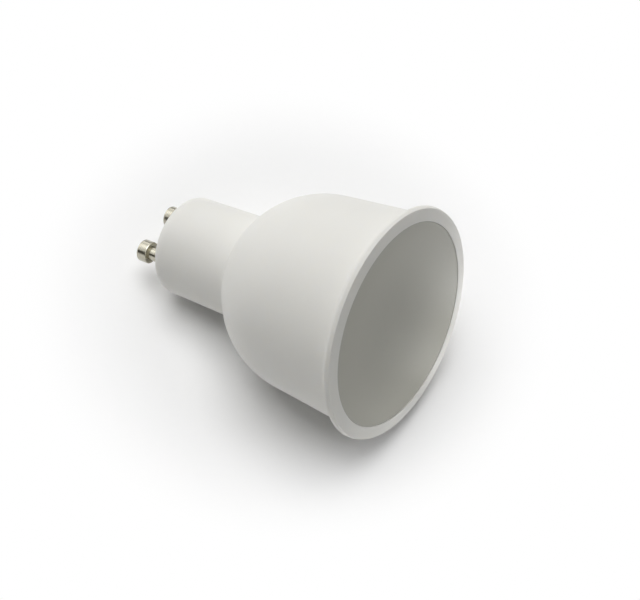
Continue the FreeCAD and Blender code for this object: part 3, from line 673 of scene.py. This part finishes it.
# Painted shade in the grooves between the turns, painted highlight on their crowns.
tone = add(tree, "ShaderNodeMix",
           {"data_type": "RGBA", MIX_A: linear("#6B3216"), MIX_B: linear("#BA6A34")},
           {"Factor": wire_ridges_and_painted_shade.outputs["Fac"]})
bump = add(tree, "ShaderNodeBump", {"Strength": 0.8, "Distance": 0.1 * MM},
           {"Height": wire_ridges_and_painted_shade.outputs["Fac"]})
surface(tree, {"Metallic": 0.8, "Roughness": 0.28},
        {"Base Color": tone.outputs[MIX_OUT], "Normal": bump.outputs["Normal"]})
dress(enamelled, "choke_winding")

# %% [markdown]
# The fusible resistor is a ceramic rod in blue-grey paint with printed colour rings. The
# rings sit at fixed places along the rod and have sharp edges, so a stepped ramp along the
# lamp's axis draws them, and no rings have to be modelled. The paint lies a little
# unevenly, which shows in its gloss.

# %% Painted resistor
RINGS_START, RINGS_END = -20.0 * MM, -13.0 * MM
PAINT = "#5E7F9C"
# Each ring: where it starts, as a share of that stretch of the rod, and its colour.
RINGS = ((0.2, "#6A3A1E"), (0.36, "#1A1A1C"), (0.52, "#C87A24"), (0.76, "#A98A3C"))
RING_WIDE = 0.08
PAINT_PATCH = 0.8

painted, tree, place = new_finish("ceramic_painted")
spot = add(tree, "ShaderNodeSeparateXYZ", (), {"Vector": place})
along = add(tree, "ShaderNodeMapRange", {"From Min": RINGS_START, "From Max": RINGS_END},
            {"Value": spot.outputs["Y"]})
rings = add(tree, "ShaderNodeValToRGB", (), {"Fac": along.outputs["Result"]})
ramp = rings.color_ramp
ramp.interpolation = "CONSTANT"
ramp.elements[0].color = ramp.elements[1].color = linear(PAINT)
for start, colour in RINGS:
    ramp.elements.new(start).color = linear(colour)
    ramp.elements.new(start + RING_WIDE).color = linear(PAINT)
patch = add(tree, "ShaderNodeTexNoise", {"Scale": per_metre(PAINT_PATCH), "Detail": 3.0},
            {"Vector": place})
rough = add(tree, "ShaderNodeMapRange", {"To Min": 0.35, "To Max": 0.55},
            {"Value": patch.outputs["Fac"]})
surface(tree, {},
        {"Base Color": rings.outputs["Color"], "Roughness": rough.outputs["Result"]})
dress(painted, "fuse_resistor")

# %% [markdown]
# The rectifier, the driver circuit and the diode are moulded in black epoxy, filled with
# silica powder, so their skin is a dull dark grey with a fine grain, drawn coarser here.
# Each could have a finish of its own, but they come out of the same kind of mould, so one
# serves all three.

# %% Moulded epoxy
SILICA = 0.3

black, tree, place = new_finish("epoxy_moulded_black")
silica = add(tree, "ShaderNodeTexNoise", {"Scale": per_metre(SILICA), "Detail": 4.0},
             {"Vector": place})
tone = add(tree, "ShaderNodeMix",
           {"data_type": "RGBA", MIX_A: linear("#191A1B"), MIX_B: linear("#2A2B2C")},
           {"Factor": silica.outputs["Fac"]})
bump = add(tree, "ShaderNodeBump", {"Strength": 0.2, "Distance": 0.03 * MM},
           {"Height": silica.outputs["Fac"]})
surface(tree, {"Roughness": 0.6},
        {"Base Color": tone.outputs[MIX_OUT], "Normal": bump.outputs["Normal"]})
dress(black, "bridge_rectifier", "driver_circuit", "output_diode")

# %% [markdown]
# The chip resistors and chip capacitors are small ceramic bricks with a tinned cap on
# each end. The resistors have a black glaze and the capacitors are bare and tan. All
# bricks of a kind stand in one row, so the distance from the middle of the row picks tin
# or ceramic, and the caps need no pieces of their own.

# %% Capped chips
CHIPS = (
    # node, finish, middle of the row in mm along X, two tones of the body
    ("chip_resistors", "ceramic_glazed_tin_capped", 5.4, "#1B1C1F", "#27282C"),
    ("chip_capacitors", "ceramic_bare_tin_capped", -5.4, "#A88556", "#BA9866"),
)
FIRED = 0.5
CAP_FROM = 0.6 * MM

for node, finish, middle, dark_tone, pale_tone in CHIPS:
    chip, tree, place = new_finish(finish)
    fired = add(tree, "ShaderNodeTexNoise", {"Scale": per_metre(FIRED), "Detail": 3.0},
                {"Vector": place})
    clay = add(tree, "ShaderNodeMix",
               {"data_type": "RGBA", MIX_A: linear(dark_tone), MIX_B: linear(pale_tone)},
               {"Factor": fired.outputs["Fac"]})
    spot = add(tree, "ShaderNodeSeparateXYZ", (), {"Vector": place})
    offset = add(tree, "ShaderNodeMath", {"operation": "SUBTRACT", 1: middle * MM},
                 {0: spot.outputs["X"]})
    out = add(tree, "ShaderNodeMath", {"operation": "ABSOLUTE"}, {0: offset.outputs["Value"]})
    cap = add(tree, "ShaderNodeMath", {"operation": "GREATER_THAN", 1: CAP_FROM},
              {0: out.outputs["Value"]})
    tone = add(tree, "ShaderNodeMix", {"data_type": "RGBA", MIX_B: linear("#C9C8C5")},
               {"Factor": cap.outputs["Value"], MIX_A: clay.outputs[MIX_OUT]})
    surface(tree, {"Roughness": 0.35},
            {"Base Color": tone.outputs[MIX_OUT], "Metallic": cap.outputs["Value"]})
    dress(chip, node)

# %% [markdown]
# A finish must not change the bulb's size.

# %% End of the finishes
print("the finishes are set on the bulb")
